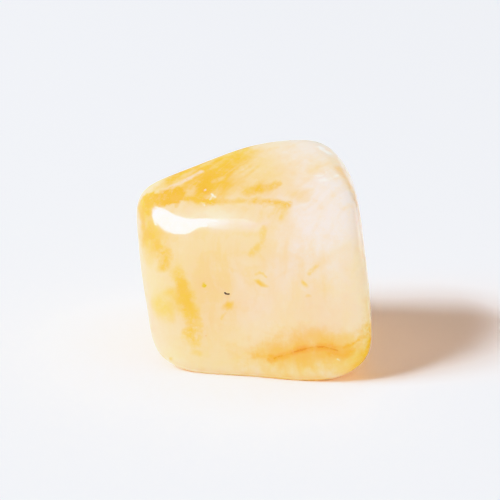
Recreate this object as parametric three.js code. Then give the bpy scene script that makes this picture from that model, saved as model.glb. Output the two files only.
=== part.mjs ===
// A tumbled, polished piece of translucent yellow jade, about 24 mm long, as one solid.
// Millimetres, +Z up. The broad, nearly upright side is the front, and faces -Y.
// The origin is on the resting face, under the middle of the stone's bounding box.
import * as THREE from 'three';
import { mergeVertices } from 'three/addons/utils/BufferGeometryUtils.js';

// ---- Driving dimensions ----

// Every distance and direction below is measured from the heart, a point inside the stone.
const HEART_HEIGHT = 8.4;

// The stone is a blunt polyhedron. Each face is flat in its middle, and its edges are worn round.
// Azimuth runs from +X toward +Y, elevation from the horizon up, both in degrees.
const FACES = [
  { name: 'front', azimuth: -92, elevation: 7, distance: 8.5 },
  { name: 'back', azimuth: 91, elevation: 3, distance: 7.6 },
  { name: 'right', azimuth: 8, elevation: 6, distance: 10.3 },
  { name: 'left', azimuth: 186, elevation: -9, distance: 12.0 },
  { name: 'base', azimuth: 0, elevation: -90, distance: 8.9 },
  { name: 'top slope', azimuth: -101, elevation: 71, distance: 10.5 },
  { name: 'crown', azimuth: 17, elevation: 41, distance: 13.2 },
  { name: 'back crown', azimuth: 102, elevation: 51, distance: 11.8 },
  { name: 'back left', azimuth: 133, elevation: 37, distance: 10.4 },
  { name: 'back right', azimuth: 49, elevation: 17, distance: 12.0 },
  { name: 'left front', azimuth: -146, elevation: 4, distance: 12.8 },
  { name: 'brow', azimuth: -96, elevation: 45, distance: 10.0 },
  { name: 'left brow', azimuth: -114, elevation: 24, distance: 11.6 },
  { name: 'shoulder', azimuth: -70, elevation: 44, distance: 12.3 },
  { name: 'front foot', azimuth: -79, elevation: -54, distance: 13.7 },
  { name: 'back foot', azimuth: 98, elevation: -44, distance: 11.4 },
  { name: 'left foot', azimuth: -166, elevation: -63, distance: 11.7 },
  { name: 'right foot', azimuth: -12, elevation: -74, distance: 14.8 },
  { name: 'heel', azimuth: -22, elevation: -44, distance: 14.3 },
  { name: 'back left corner', azimuth: 150, elevation: -22, distance: 12.8 },
  { name: 'back right corner', azimuth: 36, elevation: -34, distance: 13.3 },
];

// How crisp the worn edges are: 14 rounds them to about 2 mm, and more is sharper.
const EDGE_SHARPNESS = 14;

// Shallow hollows left by the tumbling. Width is the radius at which a hollow has mostly faded.
const HOLLOWS = [
  { name: 'slope hollow', azimuth: -160, elevation: 62, width: 5.0, depth: 0.2 },
  { name: 'front hollow', azimuth: -75, elevation: 12, width: 7.0, depth: 0.12 },
  { name: 'right hollow', azimuth: 20, elevation: -6, width: 6.0, depth: 0.15 },
  { name: 'back hollow', azimuth: 78, elevation: 6, width: 6.5, depth: 0.4 },
  { name: 'back left hollow', azimuth: 128, elevation: 40, width: 4.5, depth: 0.25 },
  { name: 'left hollow', azimuth: 165, elevation: -15, width: 5.0, depth: 0.3 },
  { name: 'back dent', azimuth: 112, elevation: -24, width: 2.6, depth: 0.3 },
  { name: 'crown dent', azimuth: 62, elevation: 42, width: 3.0, depth: 0.22 },
  { name: 'shoulder chip', azimuth: -38, elevation: 52, width: 1.6, depth: 0.22 },
];

// The hollows' widths are true at this distance from the heart, about the stone's mean radius.
const MEAN_RADIUS = 10.5;

// Long, low waves over the whole stone, so that no face is dead flat.
const SWELLS = [
  { height: 0.1, waves: [5.1, 0.0, 2.3], phase: 0.6 },
  { height: 0.08, waves: [-5.2, 4.3, 0.0], phase: 1.9 },
  { height: 0.06, waves: [0.0, 3.1, 7.4], phase: 2.7 },
];

// Squares along each side of the mesh's six patches.
const GRID = 28;

// ---- The stone's surface ----

function direction(azimuth, elevation) {
  const turn = THREE.MathUtils.degToRad(azimuth);
  const lift = THREE.MathUtils.degToRad(elevation);
  return new THREE.Vector3(
    Math.cos(turn) * Math.cos(lift),
    Math.sin(turn) * Math.cos(lift),
    Math.sin(lift),
  );
}

function withNormals(forms) {
  return forms.map((form) => ({ ...form, normal: direction(form.azimuth, form.elevation) }));
}

const faces = withNormals(FACES);
const hollows = withNormals(HOLLOWS);

// How far the worn polyhedron reaches from the heart along a unit direction.
function polyhedronRadius(ray) {
  let sum = 0;
  for (const face of faces) {
    const nearness = Math.max(0, ray.dot(face.normal)) / face.distance;
    sum += nearness ** EDGE_SHARPNESS;
  }
  return sum ** (-1 / EDGE_SHARPNESS);
}

function hollowDepth(ray) {
  let depth = 0;
  for (const hollow of hollows) {
    const spread = (MEAN_RADIUS / hollow.width) ** 2;
    depth += hollow.depth * Math.exp(-2 * (1 - ray.dot(hollow.normal)) * spread);
  }
  return depth;
}

function swellHeight(ray) {
  let height = 0;
  for (const swell of SWELLS) {
    height += swell.height * Math.sin(ray.dot(new THREE.Vector3(...swell.waves)) + swell.phase);
  }
  return height;
}

// The point of the surface that lies along a unit direction. Nothing goes below the resting face.
function surfacePoint(ray) {
  const free = polyhedronRadius(ray) - hollowDepth(ray) + swellHeight(ray);
  const toGround = ray.z < 0 ? -HEART_HEIGHT / ray.z : Infinity;
  const radius = Math.min(free, toGround);
  const point = ray.clone().multiplyScalar(radius);
  point.z = radius === toGround ? 0 : point.z + HEART_HEIGHT;
  return point;
}

// ---- The mesh ----

// A cube's grid, with each coordinate bent by a tangent, gives rays that are evenly spread.
function evenRay(cubePoint) {
  const bend = (coordinate) => Math.tan((coordinate * Math.PI) / 4);
  return new THREE.Vector3(bend(cubePoint.x), bend(cubePoint.y), bend(cubePoint.z)).normalize();
}

function stoneGeometry() {
  const cube = new THREE.BoxGeometry(2, 2, 2, GRID, GRID, GRID);
  cube.deleteAttribute('normal');
  cube.deleteAttribute('uv');
  const geometry = mergeVertices(cube);
  const position = geometry.getAttribute('position');
  const corner = new THREE.Vector3();
  for (let index = 0; index < position.count; index += 1) {
    corner.fromBufferAttribute(position, index);
    const point = surfacePoint(evenRay(corner));
    position.setXYZ(index, point.x, point.y, point.z);
  }
  geometry.computeBoundingBox();
  const middle = geometry.boundingBox.getCenter(new THREE.Vector3());
  geometry.translate(-middle.x, -middle.y, 0);
  geometry.computeVertexNormals();
  return geometry;
}

function jadeMaterial() {
  return new THREE.MeshStandardMaterial({ color: 0xf3d9a4, roughness: 0.15, metalness: 0 });
}

function makeStone() {
  const stone = new THREE.Mesh(stoneGeometry(), jadeMaterial());
  stone.name = 'stone';
  return stone;
}

const jade = new THREE.Group();
jade.add(makeStone());

export default jade;
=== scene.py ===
import math

import bpy
from bpy.props import FloatProperty, FloatVectorProperty, IntProperty, PointerProperty
from mathutils import Matrix, Vector


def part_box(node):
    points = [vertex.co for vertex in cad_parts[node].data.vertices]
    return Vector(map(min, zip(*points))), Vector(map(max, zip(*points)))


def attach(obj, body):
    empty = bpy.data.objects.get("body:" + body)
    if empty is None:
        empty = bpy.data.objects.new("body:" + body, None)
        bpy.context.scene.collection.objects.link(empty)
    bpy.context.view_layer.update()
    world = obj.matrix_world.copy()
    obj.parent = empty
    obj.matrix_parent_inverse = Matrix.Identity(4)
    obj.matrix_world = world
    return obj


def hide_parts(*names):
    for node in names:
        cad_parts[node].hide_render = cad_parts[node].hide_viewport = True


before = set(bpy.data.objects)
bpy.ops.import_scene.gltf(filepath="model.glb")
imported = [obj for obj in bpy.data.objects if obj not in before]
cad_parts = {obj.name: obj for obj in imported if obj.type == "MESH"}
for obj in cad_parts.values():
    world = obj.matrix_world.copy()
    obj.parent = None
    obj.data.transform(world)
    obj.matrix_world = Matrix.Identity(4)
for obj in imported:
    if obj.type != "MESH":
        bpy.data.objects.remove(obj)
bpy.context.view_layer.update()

bl_info = {
    "name": "Tumbled Jade Stone",
    "version": (1, 0, 0),
    "blender": (4, 5, 0),
    "location": "3D View > Sidebar > Jade",
    "description": "Builds a tumbled yellow jade stone and a small studio for it",
    "category": "Add Mesh",
}

MM = 0.001
STONE_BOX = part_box("stone")

# ---- The stone's form, as the solid has it ----

# Distances are measured from the heart, a point inside the stone, this high above the floor.
HEART_HEIGHT = 8.4

# The hollows' widths are true at this distance from the heart, about the stone's mean radius.
MEAN_RADIUS = 10.5

# name, azimuth and elevation in degrees, distance from the heart
FACES = (
    ("front", -92, 7, 8.5),
    ("back", 91, 3, 7.6),
    ("right", 8, 6, 10.3),
    ("left", 186, -9, 12.0),
    ("base", 0, -90, 8.9),
    ("top slope", -101, 71, 10.5),
    ("crown", 17, 41, 13.2),
    ("back crown", 102, 51, 11.8),
    ("back left", 133, 37, 10.4),
    ("back right", 49, 17, 12.0),
    ("left front", -146, 4, 12.8),
    ("brow", -96, 45, 10.0),
    ("left brow", -114, 24, 11.6),
    ("shoulder", -70, 44, 12.3),
    ("front foot", -79, -54, 13.7),
    ("back foot", 98, -44, 11.4),
    ("left foot", -166, -63, 11.7),
    ("right foot", -12, -74, 14.8),
    ("heel", -22, -44, 14.3),
    ("back left corner", 150, -22, 12.8),
    ("back right corner", 36, -34, 13.3),
)

# name, azimuth, elevation, width, depth
HOLLOWS = (
    ("slope hollow", -160, 62, 5.0, 0.20),
    ("front hollow", -75, 12, 7.0, 0.12),
    ("right hollow", 20, -6, 6.0, 0.15),
    ("back hollow", 78, 6, 6.5, 0.40),
    ("back left hollow", 128, 40, 4.5, 0.25),
    ("left hollow", 165, -15, 5.0, 0.30),
    ("back dent", 112, -24, 2.6, 0.30),
    ("crown dent", 62, 42, 3.0, 0.22),
    ("shoulder chip", -38, 52, 1.6, 0.22),
)

# height, waves along X, Y and Z, phase
SWELLS = (
    (0.10, (5.1, 0.0, 2.3), 0.6),
    (0.08, (-5.2, 4.3, 0.0), 1.9),
    (0.06, (0.0, 3.1, 7.4), 2.7),
)

# The fine unevenness of the skin, as a noise on the unit sphere: scale, detail, roughness
RIPPLE_NOISE = (4.0, 3.0, 0.45)

# Chips in the skin, with a crisp rim: name, place in the part's frame, radius, depth
CHIPS = (
    ("crown chip", (6.5, -1.1, 18.9), 0.60, 0.13),
    ("crown chip low", (7.5, -1.8, 18.5), 0.65, 0.08),
    ("corner chip", (6.4, 2.6, 19.9), 0.75, 0.08),
    ("slope pit", (-3.8, -3.9, 16.9), 0.42, 0.09),
    ("slope pit left", (-4.7, -3.1, 17.3), 0.34, 0.06),
    ("slope pit low", (-4.6, -4.5, 16.3), 0.34, 0.06),
    ("foot pit", (9.1, -8.7, 2.6), 0.36, 0.07),
    ("foot pit left", (5.5, -8.8, 1.5), 0.34, 0.05),
    ("foot pit high", (6.9, -8.5, 4.8), 0.34, 0.04),
    ("back chip", (-3.4, 7.8, 12.6), 0.80, 0.10),
    ("back chip low", (6.8, 7.2, 4.2), 0.60, 0.08),
    ("right chip", (11.6, 1.8, 12.4), 0.55, 0.08),
    ("left chip", (-11.4, 2.6, 7.4), 0.60, 0.08),
)

# The noise that frays a chip's rim, and the width of that rim as a share of the radius
CHIP_NOISE = (1.6, 2.0, 0.5)
CHIP_FRAY = 0.5

# The bake map's cells, and the share of its cell that each of the six charts fills
MAP_COLUMNS = 3.0
MAP_ROWS = 2.0
CHART_SHARE = 0.96

# ---- Colours in the stone, with painted glints, reflections, glow and shade among them ----

# Soft clouds of colour, in the order in which they lie over each other:
# name, colour, place, reach, turn in degrees, softness, raggedness, combing, strength
CLOUDS = (
    ("left warmth", "honey", (-7.0, -6.4, 8.0), (6.5, 5.0, 9.0), (0, 0, 0), 0.9, 0.3, 0.3, 0.7),
    ("low warmth", "honey", (0.0, -7.5, 0.6), (13.0, 5.0, 5.5), (0, 0, 0), 0.9, 0.2, 0.1, 0.7),
    ("milky right", "milk", (7.8, -3.8, 15.6), (7.6, 8.5, 7.6), (0, 0, 0), 0.7, 0.3, 0.15, 1.0),
    ("milky crown", "milk", (4.8, 3.4, 19.6), (6.0, 6.0, 3.6), (0, 0, 0), 0.9, 0.3, 0.1, 0.9),
    ("milky flank", "milk", (4.4, -7.6, 10.6), (3.4, 3.0, 4.0), (0, 0, 0), 0.9, 0.5, 0.4, 0.4),
    # Painted light: a warmer tint on the right flank, the side away from the lamp
    ("painted right flank warmth", "peach", (11.6, -6.0, 8.5), (4.0, 5.5, 10.0), (0, 0, 0), 0.9, 0.2, 0.1, 0.9),
    # Painted reflection: a pale band between the ridge and the highlight, where the rounded edge
    # mirrors the bright space above
    ("painted reflection band", "cream", (-3.6, -5.4, 15.8), (5.6, 1.2, 0.9), (0, 3, 0), 0.9, 0.2, 0.2, 0.9),
    ("painted reflection paleness", "spark", (-3.6, -5.4, 15.8), (5.6, 1.2, 0.9), (0, 3, 0), 0.9, 0.2, 0.2, 0.3),
    ("middle streaks", "honey", (-3.8, -7.5, 9.5), (3.6, 2.5, 6.0), (0, 8, 0), 0.9, 0.4, 0.9, 1.0),
    ("slope glow", "honey", (-0.4, -1.8, 18.4), (4.6, 4.2, 2.2), (0, 0, 0), 0.9, 0.4, 0.5, 0.9),
    # Painted shade: the gold and amber on the slope are the stone's yellow darkened against the strong
    # lamp that falls there
    ("slope warmth", "gold", (-5.4, -1.2, 17.4), (6.2, 5.2, 3.0), (0, 0, 0), 0.9, 0.25, 0.25, 0.9),
    ("slope patch", "gold", (-3.9, -0.6, 18.0), (4.8, 4.8, 2.4), (0, 0, -14), 0.9, 0.35, 0.4, 1.0),
    ("slope far patch", "gold", (-2.0, 1.6, 19.2), (3.2, 3.0, 1.8), (0, 0, 0), 1.0, 0.3, 0.2, 0.9),
    ("slope heart", "amber", (-4.6, -2.2, 17.6), (2.8, 2.2, 1.4), (0, 0, 0), 0.9, 0.5, 0.3, 0.9),
    ("slope wash", "gold", (-2.6, -2.8, 17.8), (2.8, 2.0, 1.3), (0, 0, 0), 1.0, 0.2, 0.1, 0.75),
    ("slope tail", "gold", (0.2, -3.0, 17.8), (3.0, 1.5, 1.2), (0, 0, 0), 1.0, 0.4, 0.5, 0.8),
    ("slope wisp", "yellow", (4.6, -3.5, 17.5), (2.0, 1.4, 1.0), (0, 0, 0), 1.0, 0.5, 0.6, 0.45),
    ("ridge feather", "yellow", (2.9, -5.4, 16.1), (1.6, 1.5, 1.4), (0, 20, 0), 1.0, 0.5, 0.7, 0.75),
    ("left peach", "peach", (-9.3, -7.0, 4.0), (3.6, 4.0, 5.5), (0, 0, 0), 0.9, 0.2, 0.1, 0.65),
    # Painted shade: the left side's gold is darkened against the strong lamp
    ("left field", "gold", (-9.8, -4.8, 13.0), (3.8, 3.4, 3.7), (0, 8, 0), 0.9, 0.25, 0.0, 1.0),
    ("left dot", "amber", (-8.9, -5.9, 12.2), (0.7, 1.0, 0.6), (0, 0, 0), 1.0, 0.3, 0.0, 0.7),
    ("veil side", "yellow", (-7.2, -7.4, 8.3), (1.3, 1.6, 1.2), (0, 0, 0), 1.0, 0.4, 0.1, 0.8),
    ("veil twin", "yellow", (-8.2, -7.4, 6.7), (2.1, 2.2, 2.2), (0, 10, 0), 1.0, 0.3, 0.1, 0.9),
    ("veil middle", "yellow", (-5.9, -7.5, 7.4), (1.5, 2.2, 3.4), (0, -16, 0), 1.0, 0.3, 0.1, 0.8),
    ("low left dot", "amber", (-7.2, -8.1, 1.6), (0.4, 0.8, 0.35), (0, 0, 0), 0.9, 0.3, 0.0, 0.6),
    ("low left patch", "yellow", (-4.9, -8.3, 2.4), (0.7, 0.9, 0.7), (0, 0, 0), 1.0, 0.3, 0.0, 0.5),
    ("speck halo", "honey", (-1.9, -7.5, 9.8), (1.3, 1.4, 1.7), (0, 0, 0), 1.0, 0.2, 0.2, 1.0),
    ("speck streak", "honey", (-2.6, -7.6, 8.1), (0.4, 1.0, 1.0), (0, 10, 0), 1.0, 0.3, 0.0, 0.9),
    ("middle lens", "yellow", (1.5, -7.6, 9.75), (0.95, 1.0, 0.42), (0, 22, 0), 0.9, 0.3, 0.0, 0.9),
    ("lower lens", "yellow", (-1.85, -7.6, 7.25), (1.05, 1.0, 0.48), (0, -40, 0), 0.9, 0.3, 0.0, 0.9),
    ("right lens", "yellow", (5.7, -7.7, 10.05), (0.70, 1.0, 0.36), (0, 50, 0), 1.0, 0.3, 0.0, 0.9),
    ("right lens low", "yellow", (6.05, -7.9, 8.75), (0.45, 1.0, 0.32), (0, 0, 0), 1.0, 0.3, 0.0, 0.5),
    ("green dot", "moss", (-4.2, -7.5, 9.22), (0.36, 0.8, 0.24), (0, 30, 0), 0.6, 0.2, 0.0, 1.0),
    ("low right blush", "peach", (8.6, -7.4, 6.8), (5.5, 3.4, 4.6), (0, 0, 0), 0.9, 0.2, 0.1, 0.6),
    ("foot haze", "orange", (7.4, -8.4, 4.8), (5.2, 2.0, 1.9), (0, 0, 0), 1.0, 0.3, 0.1, 0.85),
    ("foot cloud", "orange", (5.2, -8.6, 2.8), (7.8, 2.6, 3.2), (0, -3, 0), 0.9, 0.3, 0.2, 1.0),
    ("foot core", "orange", (5.6, -8.6, 3.0), (6.2, 1.9, 1.8), (0, -4, 0), 0.9, 0.2, 0.1, 1.0),
    # Painted glow: orange along the bottom edge and the heel, where light comes through the stone
    ("painted foot rim glow", "orange", (5.0, -8.6, 0.0), (9.5, 3.0, 1.3), (0, 0, 0), 0.9, 0.2, 0.0, 0.45),
    ("painted heel glow", "orange", (11.0, -7.6, 2.6), (3.9, 3.4, 4.2), (0, 0, 0), 0.9, 0.2, 0.0, 1.0),
    ("back milk", "milk", (6.4, 7.4, 12.0), (4.6, 3.2, 4.8), (0, 0, 0), 0.9, 0.4, 0.3, 0.8),
    ("back slope", "gold", (-7.0, 2.8, 16.2), (3.8, 3.4, 2.6), (0, 0, 0), 1.0, 0.4, 0.3, 0.9),
    ("back band", "yellow", (-5.6, 7.2, 12.4), (4.8, 2.2, 1.5), (0, 14, 0), 1.0, 0.4, 0.4, 0.8),
    ("back veil", "yellow", (-3.0, 7.6, 8.2), (2.2, 2.4, 6.5), (0, -24, 0), 0.9, 0.4, 0.3, 0.8),
    ("back cloud", "orange", (5.5, 7.4, 2.7), (4.5, 2.2, 2.0), (0, 8, 0), 0.9, 0.4, 0.2, 0.6),
    ("back crown veil", "yellow", (1.5, 5.0, 16.7), (5.0, 3.0, 2.0), (0, 12, 0), 0.9, 0.4, 0.4, 0.7),
    ("left end", "yellow", (-11.5, 0.5, 10.2), (2.5, 4.0, 4.5), (0, 0, 0), 0.9, 0.4, 0.3, 0.7),
    ("right end", "peach", (12.0, 0.0, 6.2), (2.6, 7.5, 9.0), (0, 0, 0), 0.9, 0.3, 0.2, 0.7),
)

# Threads of colour: name, colour, half width, softness, strength, and the points they run through
THREADS = (
    # Painted shade: the amber and gold threads on the slope rim, the corner, the left edge, the ridge
    # and the slope are darkened against the strong lamp
    ("slope rim", "amber", 1.0, 0.9, 0.8, (
        (-9.6, -2.2, 16.2), (-8.3, -1.3, 17.4), (-5.8, 1.2, 18.4), (-3.1, 2.8, 19.2), (-1.2, 3.6, 19.7),
    )),
    # Painted reflection: a pale pink streak where the top slope mirrors something bright
    ("painted reflection streak", "blush", 0.42, 0.9, 1.0, (
        (-8.9, -2.7, 16.7), (-7.4, -2.0, 17.4), (-6.4, -1.4, 17.9), (-5.4, -0.6, 18.2),
    )),
    ("corner", "amber", 1.35, 0.5, 1.0, (
        (-11.2, -2.9, 14.9), (-10.4, -3.2, 15.7), (-9.2, -3.3, 16.2), (-7.6, -3.4, 16.6),
    )),
    ("left edge", "amber", 1.0, 0.9, 0.9, (
        (-11.1, -3.0, 14.6), (-10.7, -3.6, 13.9), (-10.4, -4.4, 12.6),
    )),
    ("ridge", "gold", 0.66, 0.9, 1.0, ((-7.6, -3.5, 16.5), (-6.0, -3.8, 16.6), (-3.8, -4.4, 16.6))),
    ("ridge gap", "gold", 0.50, 1.0, 0.6, ((-3.6, -4.5, 16.6), (0.4, -4.4, 16.95))),
    ("ridge end", "gold", 0.66, 1.0, 0.85, (
        (0.6, -4.4, 16.95), (2.0, -4.45, 16.93), (3.5, -4.55, 16.85),
    )),
    ("slope smear", "gold", 0.75, 1.0, 0.6, ((-0.4, -3.7, 17.3), (1.0, -3.2, 17.7), (2.4, -2.5, 18.1))),
    ("left drip", "gold", 1.05, 1.0, 0.9, ((-8.9, -6.0, 12.2), (-7.9, -6.7, 11.5), (-8.3, -6.8, 10.5))),
    ("veil", "yellow", 1.2, 1.0, 0.9, (
        (-6.5, -7.3, 9.9), (-6.2, -7.5, 8.5), (-5.8, -7.7, 7.2), (-5.2, -7.9, 5.7), (-5.3, -8.1, 3.7),
    )),
    ("veil heart", "yellow", 0.7, 1.0, 1.0, (
        (-6.5, -7.4, 9.4), (-6.1, -7.5, 8.3), (-5.7, -7.6, 7.2), (-5.3, -7.8, 6.2),
    )),
    ("crack halo", "orange", 0.72, 0.9, 1.0, (
        (1.1, -8.4, 2.5), (2.7, -8.6, 2.4), (4.3, -8.6, 2.9), (5.9, -8.6, 3.5), (7.5, -8.6, 3.8),
        (9.0, -8.6, 3.7), (10.4, -8.5, 3.7),
    )),
    ("crack glow", "tawny", 0.58, 0.9, 1.0, (
        (2.5, -8.6, 2.3), (3.2, -8.6, 2.4), (3.9, -8.6, 2.75), (4.9, -8.6, 3.2), (5.9, -8.6, 3.55),
        (6.8, -8.6, 3.75), (7.6, -8.6, 3.85), (8.4, -8.6, 3.8), (9.1, -8.6, 3.55),
    )),
    ("crack foot glow", "tawny", 0.6, 1.0, 0.95, (
        (8.3, -8.6, 3.3), (9.5, -8.6, 3.2), (10.4, -8.5, 3.6), (10.9, -8.4, 4.0),
    )),
    ("branch halo", "orange", 0.60, 1.0, 1.0, ((9.3, -8.6, 3.6), (10.2, -8.5, 4.2), (11.0, -8.4, 4.8))),
    ("crack", "rust", 0.14, 0.8, 0.9, (
        (2.9, -8.6, 2.35), (3.5, -8.6, 2.6), (4.3, -8.6, 2.9), (4.9, -8.6, 3.2), (5.9, -8.6, 3.55),
        (6.7, -8.6, 3.8), (7.5, -8.6, 3.85), (8.3, -8.6, 3.8), (9.0, -8.6, 3.6),
    )),
    ("branch", "tawny", 0.28, 0.9, 0.9, ((9.7, -8.6, 3.9), (10.4, -8.5, 4.3), (11.0, -8.4, 4.75))),
    ("worn band", "blush", 0.75, 1.0, 0.5, ((-3.2, -6.2, 14.6), (-0.8, -6.1, 14.9), (1.6, -6.0, 15.2))),
    ("upper squiggle", "yellow", 0.55, 1.0, 0.5, (
        (1.5, -6.3, 14.9), (1.5, -6.7, 13.8), (0.9, -7.0, 13.1), (0.4, -7.1, 12.5),
    )),
    ("middle arc", "yellow", 0.18, 1.0, 0.45, (
        (0.9, -7.5, 10.60), (1.3, -7.5, 10.80), (1.6, -7.5, 10.75), (1.95, -7.6, 10.45),
    )),
    ("lower tail", "yellow", 0.22, 1.0, 0.5, ((-1.7, -7.7, 6.9), (-2.4, -7.8, 5.9))),
    ("right squiggle", "yellow", 0.38, 1.0, 0.5, ((6.1, -7.6, 11.0), (6.9, -7.5, 12.0))),
    ("right diagonal", "honey", 0.8, 1.0, 0.3, ((9.6, -6.9, 13.9), (7.0, -7.4, 12.1))),
    # Painted reflection: warm orange where the right flank mirrors the shadowed floor
    ("painted flank reflection", "orange", 0.8, 1.0, 0.3, ((11.6, -7.6, 8.6), (11.9, -7.8, 4.0))),
    # Painted glow: deep gold at the heel's edge, where light comes through the stone
    ("painted heel rim glow", "tawny", 1.5, 1.0, 0.9, ((11.8, -7.9, 5.2), (11.9, -7.8, 4.0), (11.5, -7.6, 2.4))),
    # Painted reflection: warm orange along the upper right rim, where it mirrors the shadowed floor
    ("painted rim reflection", "orange", 0.9, 1.0, 0.45, (
        (7.9, 0.2, 19.1), (9.0, -1.2, 18.2), (10.2, -3.0, 16.5), (11.2, -5.2, 13.0),
    )),
    ("back streak", "orange", 0.7, 1.0, 0.6, ((-8.0, 6.8, 12.0), (-3.0, 8.0, 11.4), (1.0, 8.1, 9.0))),
    ("back crack halo", "orange", 0.7, 1.0, 0.8, ((2.0, 8.3, 6.0), (4.4, 8.5, 5.2), (8.0, 8.5, 5.3))),
    ("back crack", "rust", 0.12, 1.0, 0.7, (
        (2.0, 8.3, 6.0), (3.5, 8.5, 5.4), (5.0, 8.6, 5.2), (6.5, 8.5, 5.6), (8.0, 8.5, 5.3),
    )),
    ("left end squiggle", "yellow", 0.36, 1.0, 0.6, (
        (-11.9, 3.0, 9.0), (-12.0, 2.2, 8.4), (-12.0, 1.2, 8.7),
    )),
    ("right end thread", "yellow", 0.40, 1.0, 0.6, (
        (10.7, 0.0, 10.0), (10.5, 2.0, 8.0), (10.7, 3.0, 5.0),
    )),
    # Painted glints: whitish marks where the chips and pits catch the light; the chips and pits
    # themselves are in the mesh
    ("crown glint", "spark", 0.22, 0.9, 0.8, (
        (6.1, -1.45, 18.8), (6.55, -1.35, 18.8), (6.9, -0.85, 18.95),
    )),
    ("crown painted glint", "spark", 0.30, 1.0, 0.6, (
        (6.5, -2.0, 18.45), (7.3, -1.75, 18.55), (8.0, -1.1, 18.8),
    )),
    ("corner painted glint", "spark", 0.52, 1.0, 1.0, ((5.8, 3.0, 20.1), (6.8, 2.5, 19.85))),
    ("slope spark", "spark", 0.17, 1.0, 0.8, ((-4.0, -4.1, 16.8), (-3.8, -3.7, 17.05))),
    ("slope spark cross", "spark", 0.17, 1.0, 0.8, ((-3.95, -3.6, 17.1), (-3.55, -3.9, 16.95))),
    ("slope spark left", "spark", 0.16, 1.0, 0.7, ((-4.7, -3.1, 17.3), (-4.6, -3.0, 17.3))),
    ("slope spark low", "spark", 0.16, 0.9, 0.8, ((-4.7, -4.4, 16.4), (-4.5, -4.5, 16.3))),
    ("slope paleness", "honey", 0.55, 1.0, 0.6, ((-3.9, -2.2, 17.9), (-3.2, -1.8, 18.1))),
    # Painted glint on the foot pit
    ("foot spark", "spark", 0.14, 1.0, 0.7, ((9.0, -8.7, 2.7), (9.2, -8.7, 2.6))),
    ("speck", "umber", 0.17, 0.5, 1.0, ((-2.12, -7.5, 8.50), (-1.95, -7.5, 8.40), (-1.74, -7.5, 8.43))),
    ("grey dot", "umber", 0.10, 0.9, 0.5, ((-2.0, -8.0, 4.8), (-2.0, -8.0, 4.8))),
    ("brown dot", "rust", 0.11, 0.9, 0.4, ((-3.9, -8.1, 4.1), (-3.9, -8.1, 4.1))),
)

# How much a thread's edge is frayed, and how much it thins in patches
THREAD_FRAY = 0.8
THREAD_THINNING = 0.6

# Noises in the stone: scale per millimetre, detail, roughness
FRAY_NOISE = (0.9, 5.0, 0.55)
COMB_NOISE = (1.3, 4.0, 0.5)
PATCH_NOISE = (0.8, 5.0, 0.75)
MILK_NOISE = (0.2, 4.0, 0.55)
VEIN_NOISE = (0.28, 4.0, 0.5)
GRIT_NOISE = (2.6, 3.0, 0.6)
GRAIN_NOISE = (3.2, 4.0, 0.75)
PIT_NOISE = (2.6, 4.0, 0.75)

# Drifts push a point about by a soft noise: its scale, and how far it pushes
COMB_DRIFT = (0.25, 1.2)
MILK_DRIFT = (0.3, 2.0)
VEIN_DRIFT = (0.5, 1.5)
CLOUD_DRIFT = (0.35, 1.6)
THREAD_DRIFT = (1.4, 0.30)
DRIFT_DETAIL = 3.0
DRIFT_ROUGHNESS = 0.55

# Ramps: the noise's values where a pattern starts and where it is full, and its full strength
STREAK_RAMP = (-0.1, 0.4, 1.0)
PATCH_RAMP = (-0.1, 0.4, 1.0)
GRIT_RAMP = (0.0, 0.4, 1.0)
MILK_RAMP = (-0.05, 0.35, 0.3)
HONEY_RAMP = (0.0, 0.5, 0.4)
VEIN_RAMP = (0.16, 0.0, 0.16)

# The combed streaks run in thin layers: the direction across them, and their length to thickness
LAYER_AXIS = (1.0, -0.88, 0.2)
LAYER_STRETCH = 6.0

# Where the polish is worn dull below the ridge: place, reach, how frayed the edge is, and the
# share of the reach within which the wear is full
FROST_PLACE = (-0.9, -6.1, 14.9)
FROST_REACH = (3.6, 1.4, 1.0)
FROST_FRAY = 0.4
FROST_FULL = 0.5

# The stone's refractive index, and how far red, green and blue light travel in it, as shares of
# the light depth
REFRACTIVE_INDEX = 1.54
COLOUR_REACH = (1.0, 0.94, 0.85)

# The Mix node's colour sockets, by number: both inputs, and the output
MIX_BELOW = 6
MIX_TINT = 7
MIX_RESULT = 2

# What every colour setting shares
COLOUR = {"size": 3, "min": 0.0, "max": 1.0, "subtype": "COLOR"}


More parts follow.
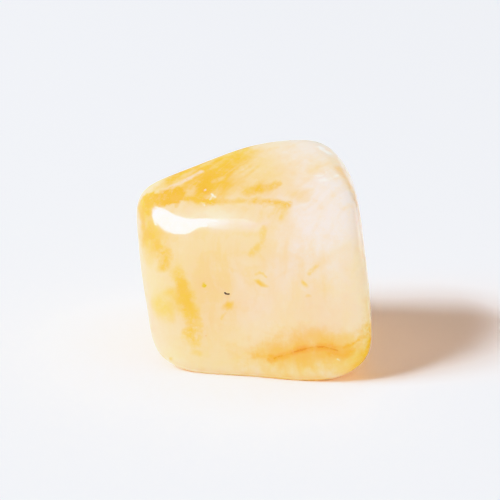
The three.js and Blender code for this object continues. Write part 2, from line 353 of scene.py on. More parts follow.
class StoneSettings(bpy.types.PropertyGroup):
    """Sizes and colours of the stone"""

    squares: IntProperty(
        name="Squares per Side",
        description="Squares along each side of the mesh's six patches",
        default=128, min=8, max=128,
    )
    edge_sharpness: FloatProperty(
        name="Edge Sharpness",
        description="How crisp the worn edges are: more is sharper",
        default=14.0, min=4.0, max=40.0,
    )
    ripple: FloatProperty(
        name="Ripple",
        description="Height of the fine unevenness left by the tumbling",
        default=0.02 * MM, min=0.0, unit="LENGTH", precision=6,
    )
    roughness: FloatProperty(
        name="Roughness",
        description="Roughness of the polished skin",
        default=0.09, min=0.0, max=1.0, subtype="FACTOR",
    )
    frost_roughness: FloatProperty(
        name="Frost Roughness",
        description="How much rougher the skin is where the polish is worn",
        default=0.14, min=0.0, max=1.0, subtype="FACTOR",
    )
    frost_depth: FloatProperty(
        name="Frost Depth",
        description="Depth of the tiny pits where the polish is worn",
        default=0.022 * MM, min=0.0, unit="LENGTH", precision=6,
    )
    grain: FloatProperty(
        name="Grain",
        description="How uneven the colour is from grain to grain",
        default=0.16, min=0.0, max=1.0, subtype="FACTOR",
    )
    light_depth: FloatProperty(
        name="Light Depth",
        description="How far light travels inside the stone",
        default=8.0 * MM, min=0.0, unit="LENGTH", precision=5,
    )
    shadow_tint: FloatVectorProperty(
        name="Shadow Tint", description="Share of the light that each skin of the stone lets by",
        default=(0.50, 0.335, 0.16), **COLOUR,
    )
    # Cream is also laid on the painted reflection band below the ridge
    cream: FloatVectorProperty(
        name="Cream", description="The stone's main colour, also in the painted reflection band below the ridge",
        default=(0.95, 0.74, 0.45), **COLOUR,
    )
    milk: FloatVectorProperty(
        name="Milk", description="The whitish clouds",
        default=(0.83, 0.74, 0.69), **COLOUR,
    )
    # Blush is painted reflection in the slope's streak, and the worn band's own tint below the ridge
    blush: FloatVectorProperty(
        name="Blush", description="The painted pink reflection streak on the slope, and the pinkish worn band below the ridge",
        default=(0.93, 0.72, 0.58), **COLOUR,
    )
    honey: FloatVectorProperty(
        name="Honey", description="The warm, pale yellow clouds",
        default=(0.96, 0.705, 0.31), **COLOUR,
    )
    yellow: FloatVectorProperty(
        name="Yellow", description="The yellow veils, lenses and squiggles",
        default=(0.95, 0.62, 0.01), **COLOUR,
    )
    # Gold is the stone's yellow painted darker, as shade, for the brightly lit slope, ridge and left
    # side
    gold: FloatVectorProperty(
        name="Gold", description="The yellow of the slope, the ridge and the left side, painted darker as shade against the strong lamp",
        default=(0.86, 0.535, 0.0), **COLOUR,
    )
    # Peach is the flanks' warm tint, and on the right flank painted warm light on the side away from
    # the lamp
    peach: FloatVectorProperty(
        name="Peach", description="The warm tint of the flanks, and painted warm light on the right flank",
        default=(0.98, 0.69, 0.47), **COLOUR,
    )
    # Spark is painted light: glints on the chips and pits, and reflection below the ridge
    spark: FloatVectorProperty(
        name="Spark", description="The painted whitish glints on the chips and pits, and the painted reflection below the ridge",
        default=(0.96, 0.93, 0.88), **COLOUR,
    )
    # Amber is partly the stone's deepest yellow, partly painted shade: darkened for the brightly lit
    # corner and left side
    amber: FloatVectorProperty(
        name="Amber", description="The deepest yellow streaks, painted darker still as shade where the lamp is strongest",
        default=(0.74, 0.45, 0.0), **COLOUR,
    )
    # Orange is the golden stain low in the stone, and painted glow and reflection at the bottom edge,
    # heel and right rims
    orange: FloatVectorProperty(
        name="Orange", description="The golden clouds low in the stone, and the painted glow and warm reflections at the bottom edge and right rims",
        default=(0.98, 0.545, 0.06), **COLOUR,
    )
    # Tawny is the crack's deep gold stain, and painted glow at the heel
    tawny: FloatVectorProperty(
        name="Tawny", description="The deep gold along the crack, and the painted glow at the heel",
        default=(0.95, 0.45, 0.0), **COLOUR,
    )
    rust: FloatVectorProperty(
        name="Rust", description="The hairline cracks",
        default=(0.60, 0.20, 0.01), **COLOUR,
    )
    umber: FloatVectorProperty(
        name="Umber", description="The dark specks",
        default=(0.06, 0.025, 0.02), **COLOUR,
    )
    moss: FloatVectorProperty(
        name="Moss", description="The small green dot",
        default=(0.66, 0.44, 0.0), **COLOUR,
    )


# ---- The studio, in metres and degrees ----

FLOOR_HALF = 1.5
ROOM_COLOUR = (0.97, 0.98, 1.0)
WARM_WHITE = (1.0, 0.99, 0.97)
WHITE = (1.0, 1.0, 1.0)

# The height that the lights are turned at, and how far from there most of them stand
TARGET_HEIGHT = 10.0 * MM
LAMP_DISTANCE = 0.90

# Soft lights: azimuth, elevation, roll, distance, width and height, colour
LAMP = (-156, 42, 9, LAMP_DISTANCE, (0.49, 0.24), WARM_WHITE)
CARD = (22, 10, 0, 0.60, (0.50, 0.18), (1.0, 0.98, 0.95))
RIM_LIGHT = (74, 14, 0, LAMP_DISTANCE, (0.36, 0.44), WARM_WHITE)
RIM_STRIP = (72, 2, 0, LAMP_DISTANCE, (0.20, 0.05), WARM_WHITE)

# The window that the polish mirrors, seen from the stone: azimuth and elevation, and roll
WINDOW_STAND = (-145, 39)
WINDOW_ROLL = 9

# Its panes: name, place across and up from the window's middle, width, height, turn
WINDOW_PANES = (
    ("main pane", 0.132, -0.011, 0.285, 0.298, 0),
    ("low pane", -0.135, -0.152, 0.360, 0.080, 8.5),
    ("slanting pane", -0.178, -0.070, 0.550, 0.068, 48.6),
    ("inner pane", -0.085, -0.065, 0.170, 0.190, 0),
    ("end pane", 0.345, 0.150, 0.160, 0.040, 36),
)

# The camera: azimuth and elevation, distance, and the lens and sensor in millimetres
CAMERA_STAND = (-82, 22)
CAMERA_DISTANCE = 0.2
FOCAL_LENGTH = 144.0
SENSOR_WIDTH = 36.0

# A point inside the stone, and how far to the right of it and above it the view's middle lies,
# in millimetres
CAMERA_TARGET = (0.42, 0.79, 9.0)
VIEW_ACROSS = -1.21
VIEW_UP = 0.71


class StudioSettings(bpy.types.PropertyGroup):
    """Floor, lights and camera"""

    floor_colour: FloatVectorProperty(
        name="Floor", description="Colour of the floor",
        default=(0.90, 0.925, 0.985), **COLOUR,
    )
    lamp_power: FloatProperty(
        name="Lamp", description="Power of the main lamp on the left",
        default=16.0, min=0.0, unit="POWER",
    )
    window_power: FloatProperty(
        name="Window", description="Brightness of the window that the polish mirrors",
        default=420.0, min=0.0,
    )
    card_power: FloatProperty(
        name="Card", description="Power of the soft card on the right",
        default=1.25, min=0.0, unit="POWER",
    )
    rim_power: FloatProperty(
        name="Rim Light", description="Power of the soft light behind, which only the polish mirrors",
        default=0.55, min=0.0, unit="POWER",
    )
    strip_power: FloatProperty(
        name="Rim Strip", description="Power of the thin light behind, low over the floor",
        default=0.13, min=0.0, unit="POWER",
    )
    room_strength: FloatProperty(
        name="Room", description="Brightness of the white room around",
        default=0.208, min=0.0,
    )


# ---- Small helpers ----

def direction(azimuth, elevation):
    """The unit vector that points this way, in degrees"""
    turn = math.radians(azimuth)
    lift = math.radians(elevation)
    return Vector((
        math.cos(turn) * math.cos(lift),
        math.sin(turn) * math.cos(lift),
        math.sin(lift),
    ))


class Wiring:
    """Adds nodes to a tree; an input takes either a socket to link or a plain value"""

    def __init__(self, tree):
        self.tree = tree

    def node(self, kind, inputs=None, **settings):
        made = self.tree.nodes.new(kind)
        for name, value in settings.items():
            setattr(made, name, value)
        for key, value in (inputs or {}).items():
            self.feed(made.inputs[key], value)
        return made

    def feed(self, socket, value):
        if isinstance(value, bpy.types.NodeSocket):
            self.tree.links.new(value, socket)
        else:
            socket.default_value = value

    def math(self, operation, first, second=0.0, third=0.0):
        made = self.node("ShaderNodeMath", {0: first, 1: second, 2: third}, operation=operation)
        return made.outputs[0]

    def limited(self, value):
        """The value, held between 0 and 1"""
        return self.math("MINIMUM", self.math("MAXIMUM", value, 0.0), 1.0)

    def vector(self, operation, first, second=(0.0, 0.0, 0.0)):
        made = self.node("ShaderNodeVectorMath", {0: first, 1: second}, operation=operation)
        return made.outputs["Value" if operation in ("DOT_PRODUCT", "LENGTH") else "Vector"]

    def scaled(self, vector, factor):
        made = self.node("ShaderNodeVectorMath", {0: vector, "Scale": factor}, operation="SCALE")
        return made.outputs["Vector"]

    def noise(self, vector, scale, detail, roughness):
        return self.node(
            "ShaderNodeTexNoise",
            {"Vector": vector, "Scale": scale, "Detail": detail, "Roughness": roughness},
        )

    def ramp(self, value, start, end, high=1.0):
        """A smooth rise from 0 at the start to the high value at the end"""
        made = self.node(
            "ShaderNodeMapRange",
            {"Value": value, "From Min": start, "From Max": end, "To Max": high},
            interpolation_type="SMOOTHSTEP", clamp=False,
        )
        return made.outputs["Result"]


def add_socket(tree, name, kind, into=True, default=None):
    socket = tree.interface.new_socket(
        name=name, in_out="INPUT" if into else "OUTPUT", socket_type=kind,
    )
    if default is not None:
        socket.default_value = default


# ---- The stone's mesh, by Geometry Nodes ----

def worn_polyhedron(wiring, ray, sharpness):
    """How far the worn polyhedron reaches from the heart along a ray"""
    total = 0.0
    for _, azimuth, elevation, distance in FACES:
        normal = direction(azimuth, elevation) * (MEAN_RADIUS / distance)
        nearness = wiring.math("MAXIMUM", wiring.vector("DOT_PRODUCT", ray, normal), 0.0)
        total = wiring.math("ADD", wiring.math("POWER", nearness, sharpness), total)
    root = wiring.math("DIVIDE", -1.0, sharpness)
    return wiring.math("MULTIPLY", wiring.math("POWER", total, root), MEAN_RADIUS)


def hollow_depth(wiring, ray):
    """How deep the hollows are along a ray"""
    total = 0.0
    for _, azimuth, elevation, width, depth in HOLLOWS:
        spread = 2.0 * (MEAN_RADIUS / width) ** 2
        closeness = wiring.vector("DOT_PRODUCT", ray, direction(azimuth, elevation))
        fall = wiring.math("MULTIPLY", wiring.math("SUBTRACT", closeness, 1.0), spread)
        total = wiring.math("MULTIPLY_ADD", wiring.math("EXPONENT", fall), depth, total)
    return total


def swell_height(wiring, ray):
    """How high the long swells stand along a ray"""
    total = 0.0
    for height, waves, phase in SWELLS:
        angle = wiring.math("ADD", wiring.vector("DOT_PRODUCT", ray, waves), phase)
        total = wiring.math("MULTIPLY_ADD", wiring.math("SINE", angle), height, total)
    return total


def chipped(wiring, mesh):
    """The mesh with its chips pressed in along the skin's normal"""
    place = wiring.scaled(wiring.node("GeometryNodeInputPosition").outputs[0], 1.0 / MM)
    normal = wiring.node("GeometryNodeInputNormal").outputs[0]
    fray = wiring.noise(place, *CHIP_NOISE).outputs["Fac"]
    depth_sum = 0.0
    for _, spot, radius, depth in CHIPS:
        distance = wiring.vector("LENGTH", wiring.vector("SUBTRACT", place, spot))
        share = wiring.math("DIVIDE", distance, radius)
        share = wiring.math("MULTIPLY_ADD", fray, CHIP_FRAY, share)
        share = wiring.math("SUBTRACT", share, CHIP_FRAY / 2)
        bowl = wiring.math("MULTIPLY_ADD", wiring.math("MULTIPLY", share, share), -1.0, 1.0)
        bowl = wiring.math("MAXIMUM", bowl, 0.0)
        depth_sum = wiring.math("MULTIPLY_ADD", bowl, depth * MM, depth_sum)
    push = wiring.scaled(normal, wiring.math("MULTIPLY", depth_sum, -1.0))
    moved = wiring.node("GeometryNodeSetPosition", {"Geometry": mesh, "Offset": push})
    return moved.outputs["Geometry"]


def bake_map(wiring, mesh, place, normal):
    """Six square charts, one for each side of the cube that the mesh starts from"""
    split = wiring.node("ShaderNodeSeparateXYZ", {0: wiring.vector("ABSOLUTE", normal)})
    spot = wiring.node("ShaderNodeSeparateXYZ", {0: place})
    along_x = wiring.math("SUBTRACT", 1.0, split.outputs["X"])
    along_z = wiring.math("SUBTRACT", 1.0, split.outputs["Z"])
    across = wiring.math("MULTIPLY", spot.outputs["X"], along_x)
    across = wiring.math("MULTIPLY_ADD", spot.outputs["Y"], split.outputs["X"], across)
    upward = wiring.math("MULTIPLY", spot.outputs["Z"], along_z)
    upward = wiring.math("MULTIPLY_ADD", spot.outputs["Y"], split.outputs["Z"], upward)
    # One column of the map for each axis, and one row for each way along it
    column = wiring.math("MULTIPLY_ADD", split.outputs["Z"], 2.0, split.outputs["Y"])
    side = wiring.vector("DOT_PRODUCT", normal, (0.5, 0.5, 0.5))
    row = wiring.math("ADD", side, 0.5)
    half = CHART_SHARE / 2
    u = wiring.math("MULTIPLY_ADD", across, half, wiring.math("ADD", column, 0.5))
    v = wiring.math("MULTIPLY_ADD", upward, half, wiring.math("ADD", row, 0.5))
    pair = wiring.node(
        "ShaderNodeCombineXYZ",
        {"X": wiring.math("DIVIDE", u, MAP_COLUMNS), "Y": wiring.math("DIVIDE", v, MAP_ROWS)},
    )
    stored = wiring.node(
        "GeometryNodeStoreNamedAttribute",
        {"Geometry": mesh, "Name": "OFBake", "Value": pair.outputs[0]},
        data_type="FLOAT2", domain="CORNER",
    )
    return stored.outputs["Geometry"]


def captured(wiring, mesh, domain, name, value):
    """The mesh with a vector kept on it, and that vector"""
    held = wiring.node("GeometryNodeCaptureAttribute", domain=domain)
    held.capture_items.new("VECTOR", name)
    wiring.feed(held.inputs["Geometry"], mesh)
    wiring.feed(held.inputs[1], value)
    return held.outputs["Geometry"], held.outputs[1]


def surface_point(wiring, ray, sharpness, ripple_height):
    """The skin's point along a ray from the heart, in metres; nothing goes below the floor"""
    radius = worn_polyhedron(wiring, ray, sharpness)
    radius = wiring.math("SUBTRACT", radius, hollow_depth(wiring, ray))
    radius = wiring.math("ADD", radius, swell_height(wiring, ray))
    ripple = wiring.noise(ray, *RIPPLE_NOISE).outputs["Fac"]
    ripple = wiring.math("MULTIPLY", wiring.math("SUBTRACT", ripple, 0.5), ripple_height)
    radius = wiring.math("ADD", radius, ripple)
    drop = wiring.node("ShaderNodeSeparateXYZ", {0: ray}).outputs["Z"]
    # A ray that runs level or up never meets the floor, so it gets a drop that is next to none.
    drop = wiring.math("MAXIMUM", wiring.math("MULTIPLY", drop, -1.0), 1e-6)
    radius = wiring.math("MINIMUM", radius, wiring.math("DIVIDE", HEART_HEIGHT, drop))
    point = wiring.vector("ADD", wiring.scaled(ray, radius), (0.0, 0.0, HEART_HEIGHT))
    return wiring.scaled(point, MM)


def stone_tree():
    """A cube's grid, bent into evenly spread rays from the heart and laid on the stone's skin"""
    tree = bpy.data.node_groups.new("Tumbled Stone", "GeometryNodeTree")
    add_socket(tree, "Geometry", "NodeSocketGeometry", into=False)
    add_socket(tree, "Squares per Side", "NodeSocketInt", default=128)
    add_socket(tree, "Edge Sharpness", "NodeSocketFloat", default=14.0)
    add_socket(tree, "Ripple", "NodeSocketFloat", default=0.02)
    add_socket(tree, "Middle", "NodeSocketVector")
    add_socket(tree, "Material", "NodeSocketMaterial")
    wiring = Wiring(tree)
    given = wiring.node("NodeGroupInput").outputs
    corners = wiring.math("ADD", given["Squares per Side"], 1.0)
    cube = wiring.node("GeometryNodeMeshCube", {"Size": (2.0, 2.0, 2.0)})
    for axis in "XYZ":
        wiring.feed(cube.inputs["Vertices " + axis], corners)
    place = wiring.node("GeometryNodeInputPosition").outputs[0]
    normal = wiring.node("GeometryNodeInputNormal").outputs[0]
    mesh, cube_place = captured(wiring, cube.outputs["Mesh"], "POINT", "Cube Place", place)
    mesh, cube_side = captured(wiring, mesh, "FACE", "Cube Side", normal)

    bent = wiring.vector("TANGENT", wiring.scaled(place, math.pi / 4))
    ray = wiring.vector("NORMALIZE", bent)
    point = surface_point(wiring, ray, given["Edge Sharpness"], given["Ripple"])
    shaped = wiring.node(
        "GeometryNodeSetPosition", {"Geometry": mesh, "Position": point},
    ).outputs["Geometry"]

    box = wiring.node("GeometryNodeBoundBox", {"Geometry": shaped})
    middle = wiring.vector("ADD", box.outputs["Min"], box.outputs["Max"])
    shift = wiring.vector("SUBTRACT", given["Middle"], wiring.scaled(middle, 0.5))
    level = wiring.vector("MULTIPLY", shift, (1.0, 1.0, 0.0))
    placed = wiring.node(
        "GeometryNodeTransform", {"Geometry": shaped, "Translation": level},
    ).outputs["Geometry"]
    worn = chipped(wiring, placed)
    mapped = bake_map(wiring, worn, cube_place, cube_side)
    smooth = wiring.node("GeometryNodeSetShadeSmooth", {"Geometry": mapped}).outputs[0]
    real = wiring.node("GeometryNodeRealizeInstances", {"Geometry": smooth}).outputs[0]
    dressed = wiring.node(
        "GeometryNodeSetMaterial", {"Geometry": real, "Material": given["Material"]},
    ).outputs[0]
    wiring.node("NodeGroupOutput", {"Geometry": dressed})
    return tree


# ---- The stone's material ----

def segment_distance(wiring, point, start, end):
    """Distance from a point to the straight line between two others"""
    along = wiring.vector("SUBTRACT", end, start)
    offset = wiring.vector("SUBTRACT", point, start)
    reach = wiring.vector("DOT_PRODUCT", along, along)
    share = wiring.math("DIVIDE", wiring.vector("DOT_PRODUCT", offset, along), reach)
    share = wiring.limited(share)
    return wiring.vector("LENGTH", wiring.vector("SUBTRACT", offset, wiring.scaled(along, share)))


def mask_group(name, inputs):
    """A group that puts out one mask, with these inputs by name and kind"""
    tree = bpy.data.node_groups.new(name, "ShaderNodeTree")
    add_socket(tree, "Mask", "NodeSocketFloat", into=False)
    for socket, kind in inputs.items():
        add_socket(tree, socket, "NodeSocket" + kind)
    return tree


def cloud_group():
    """A soft blob of colour inside the stone, in millimetres, with a ragged, combed edge"""
    tree = mask_group("Cloud", {
        "Point": "Vector", "Fray": "Float", "Comb": "Float", "Patches": "Float",
        "Place": "Vector", "Reach": "Vector", "Turn": "Vector", "Softness": "Float",
        "Raggedness": "Float", "Combing": "Float", "Strength": "Float",
    })
    wiring = Wiring(tree)
    given = wiring.node("NodeGroupInput").outputs
    offset = wiring.vector("SUBTRACT", given["Point"], given["Place"])
    turned = wiring.node(
        "ShaderNodeVectorRotate", {"Vector": offset, "Rotation": given["Turn"]},
        rotation_type="EULER_XYZ", invert=True,
    ).outputs[0]
    distance = wiring.vector("LENGTH", wiring.vector("DIVIDE", turned, given["Reach"]))
    distance = wiring.math("MULTIPLY_ADD", given["Fray"], given["Raggedness"], distance)
    distance = wiring.math("MULTIPLY_ADD", given["Comb"], given["Combing"], distance)
    inner = wiring.math("SUBTRACT", 1.0, given["Softness"])
    mask = wiring.ramp(distance, 1.0, inner)
    mask = wiring.math("MULTIPLY", mask, given["Strength"])
    thinning = wiring.math("MULTIPLY", given["Patches"], given["Raggedness"])
    streaks = wiring.ramp(given["Comb"], *STREAK_RAMP)
    thinning = wiring.math("MULTIPLY_ADD", streaks, given["Combing"], thinning)
    kept = wiring.limited(wiring.math("SUBTRACT", 1.0, thinning))
    wiring.node("NodeGroupOutput", {"Mask": wiring.math("MULTIPLY", mask, kept)})
    return tree


def thread_group():
    """One straight stretch of a thin thread of colour, in millimetres"""
    tree = mask_group("Thread", {
        "Point": "Vector", "Fray": "Float", "Patches": "Float", "Start": "Vector",
        "End": "Vector", "Half Width": "Float", "Softness": "Float",
    })
    wiring = Wiring(tree)
    given = wiring.node("NodeGroupInput").outputs
    distance = segment_distance(wiring, given["Point"], given["Start"], given["End"])
    share = wiring.math("DIVIDE", distance, given["Half Width"])
    share = wiring.math("MULTIPLY_ADD", given["Fray"], THREAD_FRAY, share)
    inner = wiring.math("SUBTRACT", 1.0, given["Softness"])
    mask = wiring.ramp(share, 1.0, inner)
    thinning = wiring.math("MULTIPLY", given["Patches"], given["Softness"])
    kept = wiring.math("MULTIPLY_ADD", thinning, -THREAD_THINNING, 1.0)
    wiring.node("NodeGroupOutput", {"Mask": wiring.math("MULTIPLY", mask, kept)})
    return tree


def place_in_stone(wiring):
    """Object coordinates in millimetres"""
    coordinates = wiring.node("ShaderNodeTexCoord").outputs["Object"]
    return wiring.scaled(coordinates, 1.0 / MM)


def drifted(wiring, point, scale, reach):
    """The point, pushed about by a soft noise"""
    push = wiring.noise(point, scale, DRIFT_DETAIL, DRIFT_ROUGHNESS).outputs["Color"]
    push = wiring.scaled(wiring.vector("SUBTRACT", push, (0.5, 0.5, 0.5)), reach)
    return wiring.vector("ADD", point, push)


def signed_noise(wiring, point, scale, detail, roughness):
    """A noise that runs from -1 to 1"""
    value = wiring.noise(point, scale, detail, roughness).outputs["Fac"]
    return wiring.math("MULTIPLY_ADD", value, 2.0, -1.0)


def layered(wiring, point, across, stretch):
    """The point, shrunk except across the layers, so that noise on it runs in thin layers"""
    axis = Vector(across).normalized()
    depth = wiring.vector("DOT_PRODUCT", point, axis)
    kept = wiring.scaled(axis, wiring.math("MULTIPLY", depth, 1.0 - 1.0 / stretch))
    return wiring.vector("ADD", wiring.scaled(point, 1.0 / stretch), kept)


def tinted(wiring, below, tint, mask):
    """The colour below, covered by a tint where the mask says"""
    mixed = wiring.node(
        "ShaderNodeMix", {"Factor": mask, MIX_BELOW: below, MIX_TINT: (*tint, 1.0)},
        data_type="RGBA",
    )
    return mixed.outputs[MIX_RESULT]


def cloud_colours(wiring, settings, colour, point, fray, comb, patches):
    """The colour, with each cloud laid over it in turn"""
    group = cloud_group()
    soft = drifted(wiring, point, *CLOUD_DRIFT)
    for _, tint, place, reach, turn, softness, raggedness, combing, strength in CLOUDS:
        angles = [math.radians(angle) for angle in turn]
        values = {
            "Point": soft, "Fray": fray, "Comb": comb, "Patches": patches,
            "Place": place, "Reach": reach, "Turn": angles, "Softness": softness,
            "Raggedness": raggedness, "Combing": combing, "Strength": strength,
        }
        cloud = wiring.node("ShaderNodeGroup", values, node_tree=group)
        colour = tinted(wiring, colour, getattr(settings, tint), cloud.outputs["Mask"])
    return colour


def thread_colours(wiring, settings, colour, point, fray, patches):
    """The colour, with each thread laid over it in turn"""
    group = thread_group()
    shaky = drifted(wiring, point, *THREAD_DRIFT)
    grit = wiring.ramp(signed_noise(wiring, point, *GRIT_NOISE), *GRIT_RAMP)
    patches = wiring.math("MAXIMUM", patches, grit)
    for _, tint, half_width, softness, strength, places in THREADS:
        mask = 0.0
        for start, end in zip(places, places[1:]):
            values = {
                "Point": shaky, "Fray": fray, "Patches": patches, "Start": start, "End": end,
                "Half Width": half_width, "Softness": softness,
            }
            stretch = wiring.node("ShaderNodeGroup", values, node_tree=group)
            mask = wiring.math("MAXIMUM", stretch.outputs["Mask"], mask)
        mask = wiring.math("MULTIPLY", mask, strength)
        colour = tinted(wiring, colour, getattr(settings, tint), mask)
    return colour


def frosting(wiring, point, fray):
    """Where the polish is worn: a band below the ridge"""
    offset = wiring.vector("SUBTRACT", point, FROST_PLACE)
    distance = wiring.vector("LENGTH", wiring.vector("DIVIDE", offset, FROST_REACH))
    distance = wiring.math("MULTIPLY_ADD", fray, FROST_FRAY, distance)
    return wiring.ramp(distance, 1.0, FROST_FULL)


def pitted(wiring, point, frost, depth):
    """The skin's normal, with tiny pits where the polish is worn"""
    pitting = wiring.noise(point, *PIT_NOISE).outputs["Fac"]
    height = wiring.math("MULTIPLY", pitting, frost)
    bump = wiring.node("ShaderNodeBump", {"Strength": 1.0, "Distance": depth, "Height": height})
    return bump.outputs["Normal"]


def grained(wiring, colour, point, amount):
    """The colour with a fine, uneven grain"""
    speck = signed_noise(wiring, point, *GRAIN_NOISE)
    share = wiring.math("MULTIPLY_ADD", speck, amount, 1.0)
    return wiring.scaled(colour, share)


def body_colours(wiring, settings, point, comb, patches):
    """Cream, with milky clouds, combed honey streaks and thin yellow veins"""
    colour = wiring.node("ShaderNodeRGB").outputs[0]
    colour.default_value = (*settings.cream, 1.0)
    milkiness = signed_noise(wiring, drifted(wiring, point, *MILK_DRIFT), *MILK_NOISE)
    colour = tinted(wiring, colour, settings.milk, wiring.ramp(milkiness, *MILK_RAMP))
    colour = tinted(wiring, colour, settings.honey, wiring.ramp(comb, *HONEY_RAMP))
    veins = signed_noise(wiring, drifted(wiring, point, *VEIN_DRIFT), *VEIN_NOISE)
    veins = wiring.ramp(wiring.math("ABSOLUTE", veins), *VEIN_RAMP)
    veins = wiring.math("MULTIPLY", veins, wiring.math("SUBTRACT", 1.0, patches))
    return tinted(wiring, colour, settings.yellow, veins)


def jade_material(settings):
    """A waxy polish over milky jade; the light that passes the stone comes out tinted"""
    material = bpy.data.materials.new("jade")
    material.use_nodes = True
    tree = material.node_tree
    tree.nodes.clear()
    wiring = Wiring(tree)
    point = place_in_stone(wiring)
    fray = signed_noise(wiring, point, *FRAY_NOISE)
    layers = layered(wiring, drifted(wiring, point, *COMB_DRIFT), LAYER_AXIS, LAYER_STRETCH)
    comb = signed_noise(wiring, layers, *COMB_NOISE)
    patches = wiring.ramp(signed_noise(wiring, point, *PATCH_NOISE), *PATCH_RAMP)

    colour = body_colours(wiring, settings, point, comb, patches)
    colour = cloud_colours(wiring, settings, colour, point, fray, comb, patches)
    colour = thread_colours(wiring, settings, colour, point, fray, patches)
    colour = grained(wiring, colour, point, settings.grain)

    frost = frosting(wiring, point, fray)
    normal = pitted(wiring, point, frost, settings.frost_depth)
    skin = wiring.node("ShaderNodeBsdfPrincipled")
    wiring.feed(skin.inputs["Base Color"], colour)
    wiring.feed(
        skin.inputs["Roughness"],
        wiring.math("MULTIPLY_ADD", frost, settings.frost_roughness, settings.roughness),
    )
    wiring.feed(skin.inputs["Normal"], normal)
    skin.inputs["IOR"].default_value = REFRACTIVE_INDEX
    skin.inputs["Subsurface Weight"].default_value = 1.0
    skin.inputs["Subsurface Radius"].default_value = COLOUR_REACH
    skin.inputs["Subsurface Scale"].default_value = settings.light_depth
    lamplight = wiring.node("ShaderNodeLightPath").outputs["Is Shadow Ray"]
    passed = wiring.node("ShaderNodeBsdfTransparent")
    passed.inputs["Color"].default_value = (*settings.shadow_tint, 1.0)
    surface = wiring.node(
        "ShaderNodeMixShader", {0: lamplight, 1: skin.outputs[0], 2: passed.outputs[0]},
    )
    wiring.node("ShaderNodeOutputMaterial", {"Surface": surface.outputs[0]})
    return material


# ---- The studio ----

def aim(azimuth, elevation, roll=0.0):
    """The turn of a lamp or camera that stands in this direction and looks back"""
    away = direction(azimuth, elevation)
    level = Vector((0.0, 0.0, 1.0)).cross(away).normalized()
    up = away.cross(level)
    angle = math.radians(roll)
    right = level * math.cos(angle) + up * math.sin(angle)
    top = up * math.cos(angle) - level * math.sin(angle)
    return Matrix((right, top, away)).transposed().to_4x4()


def add_softbox(scene, name, power, azimuth, elevation, roll, distance, size, colour):
    """A soft light that stands in this direction and looks back at the stone"""
    lamp = bpy.data.lights.new(name, "AREA")
    lamp.shape = "RECTANGLE"
    lamp.size, lamp.size_y = size
    lamp.energy = power
    lamp.color = colour
    stand = bpy.data.objects.new(name, lamp)
    spot = Vector((0.0, 0.0, TARGET_HEIGHT)) + direction(azimuth, elevation) * distance
    stand.matrix_world = Matrix.Translation(spot) @ aim(azimuth, elevation, roll)
    scene.collection.objects.link(stand)
    return stand


def add_window(scene, power):
    """The bright panes that only the polish mirrors, side by side in one plane"""
    turn = aim(*WINDOW_STAND, WINDOW_ROLL)
    right = turn.col[0].to_3d()
    up = turn.col[1].to_3d()
    for name, across, upward, width, height, lean in WINDOW_PANES:
        pane = add_softbox(
            scene, name, power * width * height, *WINDOW_STAND, WINDOW_ROLL + lean,
            LAMP_DISTANCE, (width, height), WHITE,
        )
        pane.visible_diffuse = False
        pane.location += right * across + up * upward


def add_lights(scene, settings):
    """The lamp without its reflection, the window, the card, and what brightens the rim"""
    lamp = add_softbox(scene, "lamp", settings.lamp_power, *LAMP)
    lamp.visible_glossy = False
    add_window(scene, settings.window_power)
    add_softbox(scene, "card", settings.card_power, *CARD)
    for name, power, stand in (
        ("rim light", settings.rim_power, RIM_LIGHT),
        ("rim strip", settings.strip_power, RIM_STRIP),
    ):
        rim = add_softbox(scene, name, power, *stand)
        rim.visible_diffuse = False
        rim.visible_camera = False


def add_floor(scene, colour):
    mesh = bpy.data.meshes.new("floor")
    corners = [(-1, -1), (1, -1), (1, 1), (-1, 1)]
    rim = [(x * FLOOR_HALF, y * FLOOR_HALF, 0.0) for x, y in corners]
    mesh.from_pydata(rim, [], [(0, 1, 2, 3)])
    floor = bpy.data.objects.new("floor", mesh)
    scene.collection.objects.link(floor)
    paint = bpy.data.materials.new("floor")
    paint.use_nodes = True
    coat = paint.node_tree.nodes["Principled BSDF"]
    coat.inputs["Base Color"].default_value = (*colour, 1.0)
    coat.inputs["Roughness"].default_value = 1.0
    coat.inputs["Specular IOR Level"].default_value = 0.0
    mesh.materials.append(paint)
    return floor


def set_room(scene, strength):
    """The pale light that comes from all sides"""
    world = bpy.data.worlds.new("room")
    world.use_nodes = True
    glow = world.node_tree.nodes["Background"]
    glow.inputs["Color"].default_value = (*ROOM_COLOUR, 1.0)
    glow.inputs["Strength"].default_value = strength
    scene.world = world


def add_camera(scene):
    lens = bpy.data.cameras.new("camera")
    lens.sensor_width = SENSOR_WIDTH
    lens.lens = FOCAL_LENGTH
    lens.clip_start = 0.01
    lens.clip_end = 10.0
    camera = bpy.data.objects.new("camera", lens)
    turn = aim(*CAMERA_STAND)
    right = turn.col[0].to_3d()
    up = turn.col[1].to_3d()
    away = turn.col[2].to_3d()
    look = Vector(CAMERA_TARGET) * MM + right * VIEW_ACROSS * MM + up * VIEW_UP * MM
    camera.matrix_world = Matrix.Translation(look + away * CAMERA_DISTANCE) @ turn
    scene.collection.objects.link(camera)
    return camera


# ---- Operators ----

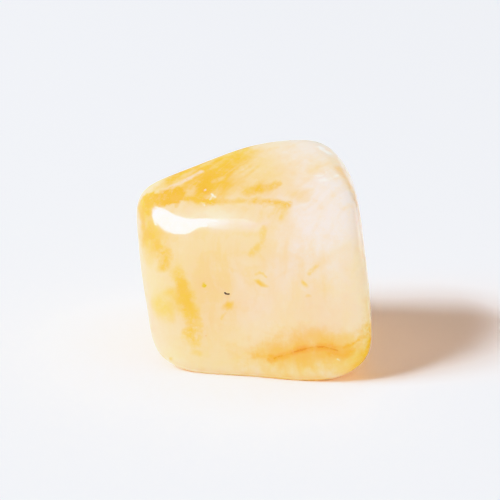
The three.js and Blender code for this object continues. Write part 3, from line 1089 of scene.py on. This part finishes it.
class JADE_OT_make_stone(bpy.types.Operator):
    """Build the tumbled stone and its material"""

    bl_idname = "jade.make_stone"
    bl_label = "Make Stone"

    def execute(self, context):
        settings = context.scene.jade_stone
        tree = stone_tree()
        piece = bpy.data.objects.new("jade_stone", bpy.data.meshes.new("jade_stone"))
        context.scene.collection.objects.link(piece)
        modifier = piece.modifiers.new("Tumbled Stone", "NODES")
        modifier.node_group = tree
        middle = (Vector(STONE_BOX[0]) + Vector(STONE_BOX[1])) / 2
        values = {
            "Squares per Side": settings.squares,
            "Edge Sharpness": settings.edge_sharpness,
            "Ripple": settings.ripple / MM,
            "Middle": middle,
            "Material": jade_material(settings),
        }
        for socket in tree.interface.items_tree:
            if socket.in_out == "INPUT":
                modifier[socket.identifier] = values[socket.name]
        depsgraph = context.evaluated_depsgraph_get()
        mesh = bpy.data.meshes.new_from_object(piece.evaluated_get(depsgraph), depsgraph=depsgraph)
        piece.modifiers.clear()
        piece.data = mesh
        mesh.name = "jade_stone"
        if not mesh.polygons:
            raise RuntimeError("the stone has no faces")
        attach(piece, "root")
        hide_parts("stone")
        return {"FINISHED"}


class JADE_OT_set_studio(bpy.types.Operator):
    """Lay the floor, and set the lights, the room and the camera"""

    bl_idname = "jade.set_studio"
    bl_label = "Set Studio"

    def execute(self, context):
        scene = context.scene
        settings = scene.jade_studio
        floor = add_floor(scene, settings.floor_colour)
        add_lights(scene, settings)
        set_room(scene, settings.room_strength)
        scene.camera = add_camera(scene)
        scene.view_settings.view_transform = "Khronos PBR Neutral"
        return {"FINISHED"}


class JADE_PT_panel(bpy.types.Panel):
    """Sizes, colours and buttons for the stone and its studio"""

    bl_idname = "JADE_PT_panel"
    bl_label = "Tumbled Jade"
    bl_space_type = "VIEW_3D"
    bl_region_type = "UI"
    bl_category = "Jade"

    def draw(self, context):
        layout = self.layout
        for group in (context.scene.jade_stone, context.scene.jade_studio):
            for name in group.__annotations__:
                layout.prop(group, name)
        layout.operator(JADE_OT_make_stone.bl_idname)
        layout.operator(JADE_OT_set_studio.bl_idname)


CLASSES = (StoneSettings, StudioSettings, JADE_OT_make_stone, JADE_OT_set_studio, JADE_PT_panel)


def register():
    for item in CLASSES:
        bpy.utils.register_class(item)
    bpy.types.Scene.jade_stone = PointerProperty(type=StoneSettings)
    bpy.types.Scene.jade_studio = PointerProperty(type=StudioSettings)


def unregister():
    del bpy.types.Scene.jade_studio
    del bpy.types.Scene.jade_stone
    for item in reversed(CLASSES):
        bpy.utils.unregister_class(item)


def main():
    register()
    bpy.ops.jade.make_stone()
    bpy.ops.jade.set_studio()


if __name__ == "__main__":
    main()
